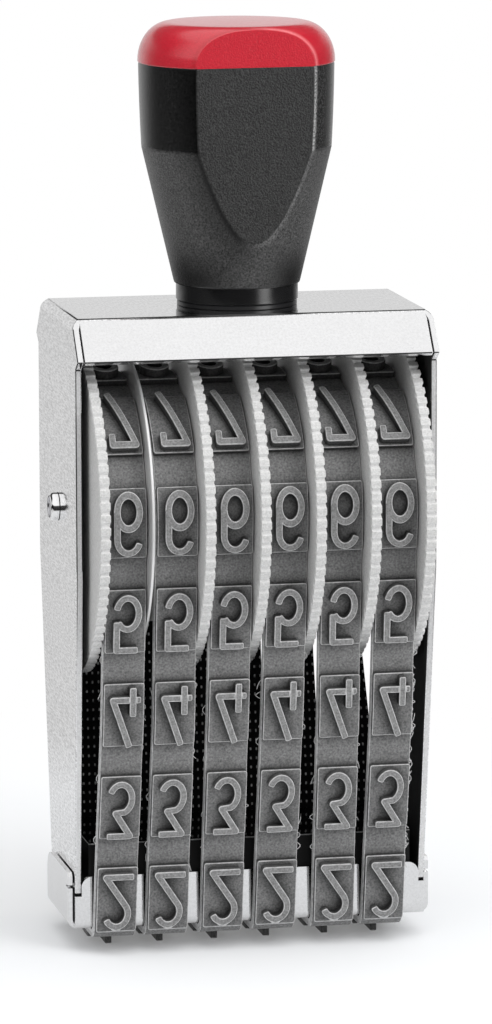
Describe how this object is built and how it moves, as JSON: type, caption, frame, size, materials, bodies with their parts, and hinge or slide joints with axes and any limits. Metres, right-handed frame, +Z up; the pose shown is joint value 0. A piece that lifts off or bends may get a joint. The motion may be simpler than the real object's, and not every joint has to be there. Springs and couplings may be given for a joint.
{
  "type": "numbering band stamp",
  "caption": "Hand numbering stamp: rubber figure bands on toothed thumb wheels in a plated sheet frame, with a round handle on top.",
  "frame": {"origin": "under the middle of the frame, at the level of the figures that print", "axes": "+X across the bands, +Y from the front to the rear, +Z up along the handle"},
  "size_m": [0.0974, 0.0854, 0.2364],
  "materials": {
    "plated_sheet": "satin plated sheet steel, smooth on the hoods",
    "plated_fittings": "bright plated steel",
    "steel": "plain turned steel",
    "black_plastic": "black moulded plastic with a fine grain",
    "red_plastic": "glossy red moulded plastic",
    "wheel_plastic": "light grey moulded plastic, slightly satin",
    "band_rubber": "matte grey rubber on a dark woven carrier",
    "dark_block": "black moulded block"
  },
  "bodies": {
    "stamp_frame": {"frame": "plated_sheet", "handle_body": "black_plastic", "handle_cap": "red_plastic", "handle_base_ring": "black_plastic", "handle_screw": "steel", "handle_washer": "steel", "axle": "steel", "axle_caps": "plated_fittings", "axle_washers": "steel", "separator_disc": "plated_fittings", "number_band_1": "band_rubber", "number_band_2": "band_rubber", "number_band_3": "band_rubber", "number_band_4": "band_rubber", "number_band_5": "band_rubber", "number_band_6": "band_rubber", "bridge": "plated_sheet", "printing_block": "dark_block"},
    "wheel_1": {"number_wheel_1": "wheel_plastic"},
    "wheel_2": {"number_wheel_2": "wheel_plastic"},
    "wheel_3": {"number_wheel_3": "wheel_plastic"},
    "wheel_4": {"number_wheel_4": "wheel_plastic"},
    "wheel_5": {"number_wheel_5": "wheel_plastic"},
    "wheel_6": {"number_wheel_6": "wheel_plastic"}
  },
  "joints": [
    {"name": "wheel_1_turn", "type": "hinge", "parent": "stamp_frame", "child": "wheel_1", "pos_m": [0, 0, 0.1131], "axis": [1, 0, 0], "continuous": true},
    {"name": "wheel_2_turn", "type": "hinge", "parent": "stamp_frame", "child": "wheel_2", "pos_m": [0, 0, 0.1131], "axis": [1, 0, 0], "continuous": true},
    {"name": "wheel_3_turn", "type": "hinge", "parent": "stamp_frame", "child": "wheel_3", "pos_m": [0, 0, 0.1131], "axis": [1, 0, 0], "continuous": true},
    {"name": "wheel_4_turn", "type": "hinge", "parent": "stamp_frame", "child": "wheel_4", "pos_m": [0, 0, 0.1131], "axis": [1, 0, 0], "continuous": true},
    {"name": "wheel_5_turn", "type": "hinge", "parent": "stamp_frame", "child": "wheel_5", "pos_m": [0, 0, 0.1131], "axis": [1, 0, 0], "continuous": true},
    {"name": "wheel_6_turn", "type": "hinge", "parent": "stamp_frame", "child": "wheel_6", "pos_m": [0, 0, 0.1131], "axis": [1, 0, 0], "continuous": true}
  ]
}
